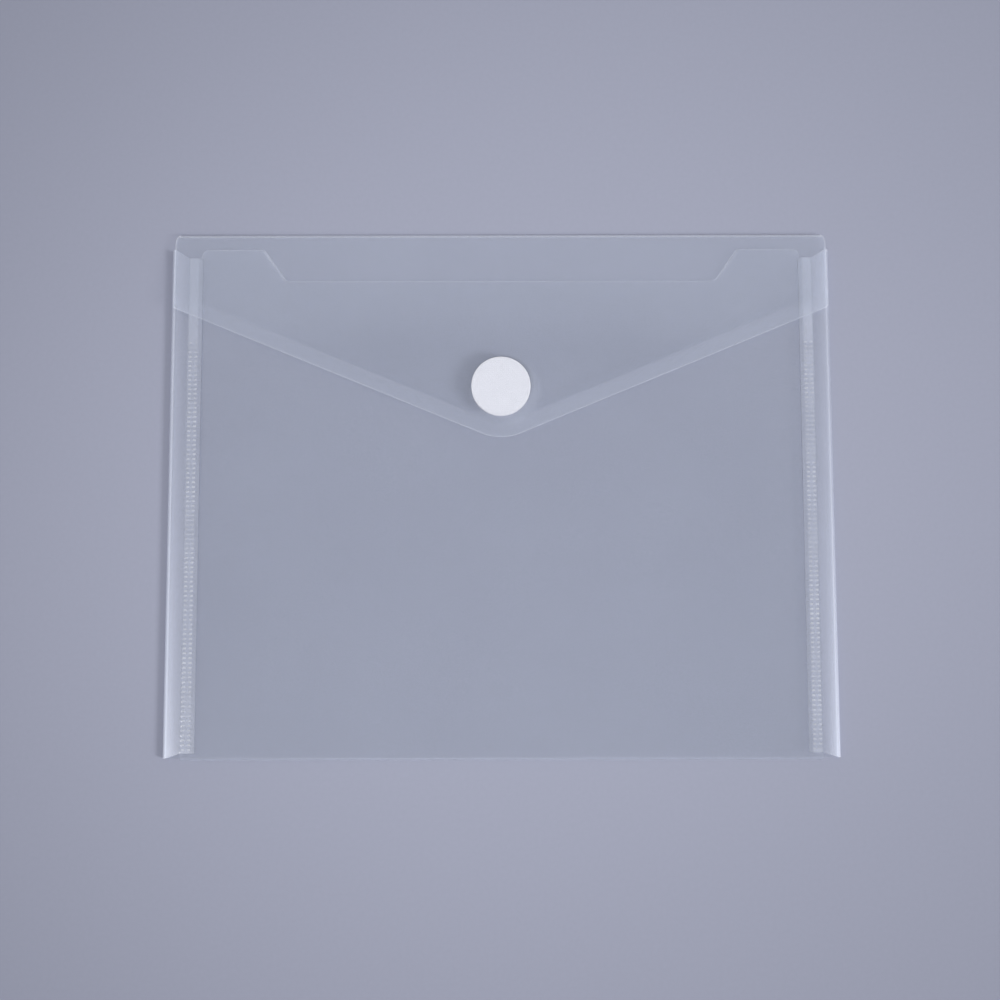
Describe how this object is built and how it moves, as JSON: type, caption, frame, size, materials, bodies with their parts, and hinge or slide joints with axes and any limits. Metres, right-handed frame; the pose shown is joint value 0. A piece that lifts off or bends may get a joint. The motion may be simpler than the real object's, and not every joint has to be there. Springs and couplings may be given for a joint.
{
  "type": "document wallet",
  "caption": "Clear plastic document wallet with a V-shaped fold-over flap, a hook-and-loop dot closure, eared pocket mouth with thumb scoop, and welded side wings.",
  "frame": {"origin": "middle of the back, on the surface that the wallet lies on", "axes": "+Z out of the front of the wallet, +Y towards the flap's fold, +X to the right as seen from the front"},
  "size_m": [0.224, 0.178, 0.0042],
  "materials": {
    "clear_sheet": "clear, slightly frosted polypropylene sheet",
    "welded_sheet": "clear polypropylene sheet with a knurled weld",
    "adhesive_film": "clear pressure-sensitive adhesive",
    "dot_backing": "white woven nylon backing",
    "loop_pile": "white napped nylon loops",
    "hook_nylon": "white nylon hooks"
  },
  "bodies": {
    "back": {"back_panel": "clear_sheet", "bottom_fold": "clear_sheet", "flap_fold": "clear_sheet", "left_side_fold": "clear_sheet", "right_side_fold": "clear_sheet", "left_wing": "clear_sheet", "right_wing": "clear_sheet"},
    "front": {"front_panel": "clear_sheet", "left_seam": "welded_sheet", "right_seam": "welded_sheet", "loop_adhesive": "adhesive_film", "loop_backing": "dot_backing", "loop_pile": "loop_pile"},
    "flap": {"flap_panel": "clear_sheet", "hook_field": "hook_nylon", "hook_backing": "dot_backing", "hook_adhesive": "adhesive_film"}
  },
  "joints": [
    {"name": "flap_hinge", "type": "hinge", "parent": "back", "child": "flap", "pos_m": [0, 0.08825, 0.00075], "axis": [-1, 0, 0], "range_deg": [0, 172], "deforming": ["flap_fold"]},
    {"name": "pocket_mouth", "type": "hinge", "parent": "back", "child": "front", "pos_m": [0, -0.08825, 0.00075], "axis": [1, 0, 0], "range_deg": [0, 2], "deforming": ["bottom_fold", "left_side_fold", "right_side_fold", "left_wing", "right_wing"]}
  ],
  "couplings": [
    {"joint": "pocket_mouth", "follows": "flap_hinge", "ratio": 0.0116}
  ]
}
